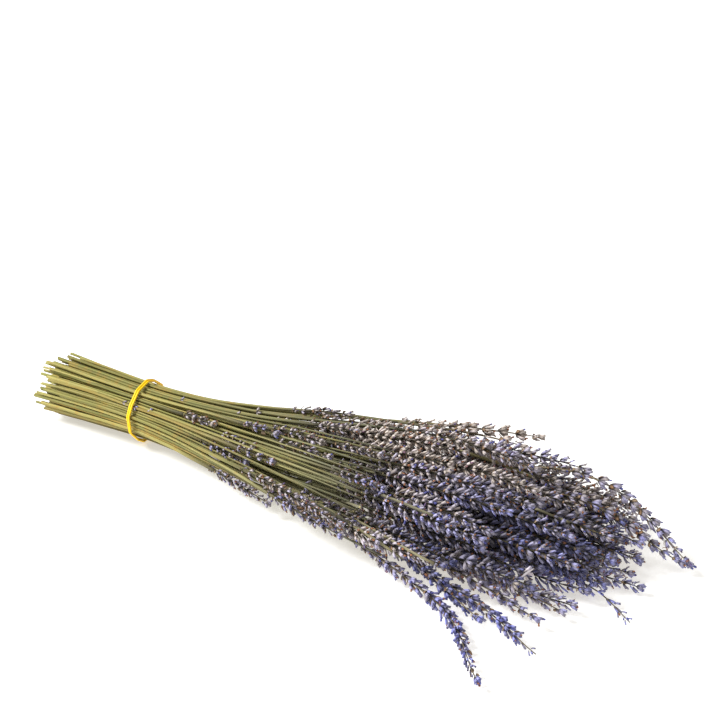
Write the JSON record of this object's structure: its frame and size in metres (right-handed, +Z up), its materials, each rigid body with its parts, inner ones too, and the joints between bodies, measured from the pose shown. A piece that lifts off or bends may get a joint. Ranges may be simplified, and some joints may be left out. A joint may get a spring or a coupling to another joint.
{
  "type": "dried lavender bunch",
  "caption": "Bunch of semi-dried lavender lying on its side: long square stems held by a rubber band near the cut ends, with a flower spike on each stem.",
  "frame": {"origin": "middle of the bunch's box in plan, on the surface that it lies on", "axes": "+X along the bunch from the cut ends to the flowers, +Z up from the surface, +Y to the left when looking from the cut ends to the flowers"},
  "size_m": [0.4692, 0.2062, 0.0609],
  "materials": {
    "stem": "matte",
    "rubber": "satin",
    "calyx_grey": "matte",
    "calyx_lilac": "matte",
    "calyx_beige": "matte",
    "calyx_violet": "matte"
  },
  "bodies": {
    "root": {"rubber_band": "rubber", "spike_01": "calyx_lilac", "spike_02": "calyx_beige", "spike_03": "calyx_violet", "spike_04": "calyx_grey", "spike_05": "calyx_lilac", "spike_06": "calyx_beige", "spike_07": "calyx_violet", "spike_08": "calyx_grey", "spike_09": "calyx_lilac", "spike_10": "calyx_beige", "spike_11": "calyx_violet", "spike_12": "calyx_grey", "spike_13": "calyx_lilac", "spike_14": "calyx_beige", "spike_15": "calyx_violet", "spike_16": "calyx_grey", "spike_17": "calyx_lilac", "spike_18": "calyx_beige", "spike_19": "calyx_violet", "spike_20": "calyx_grey", "spike_21": "calyx_lilac", "spike_22": "calyx_beige", "spike_23": "calyx_violet", "spike_24": "calyx_grey", "spike_pair_01": "calyx_lilac", "spike_pair_02": "calyx_beige", "spike_pair_03": "calyx_violet", "spike_pair_04": "calyx_grey", "spike_pair_05": "calyx_lilac", "spike_pair_06": "calyx_beige", "spike_pair_07": "calyx_violet", "spike_pair_08": "calyx_grey", "spike_pair_09": "calyx_lilac", "spike_pair_10": "calyx_beige", "spike_pair_11": "calyx_violet", "spike_pair_12": "calyx_grey", "spike_pair_13": "calyx_lilac", "spike_pair_14": "calyx_beige", "spike_pair_15": "calyx_violet", "spike_pair_16": "calyx_grey", "spike_pair_17": "calyx_lilac", "spike_pair_18": "calyx_beige", "spike_pair_19": "calyx_violet", "spike_pair_20": "calyx_grey", "spike_pair_21": "calyx_lilac", "spike_pair_22": "calyx_beige", "spike_pair_23": "calyx_violet", "spike_pair_24": "calyx_grey", "spike_pair_25": "calyx_lilac", "spike_pair_26": "calyx_beige", "spike_pair_27": "calyx_violet", "spike_pair_28": "calyx_grey", "spike_pair_29": "calyx_lilac", "spike_pair_30": "calyx_beige", "spike_pair_31": "calyx_violet", "spike_pair_32": "calyx_grey", "stems": "stem"}
  },
  "joints": []
}
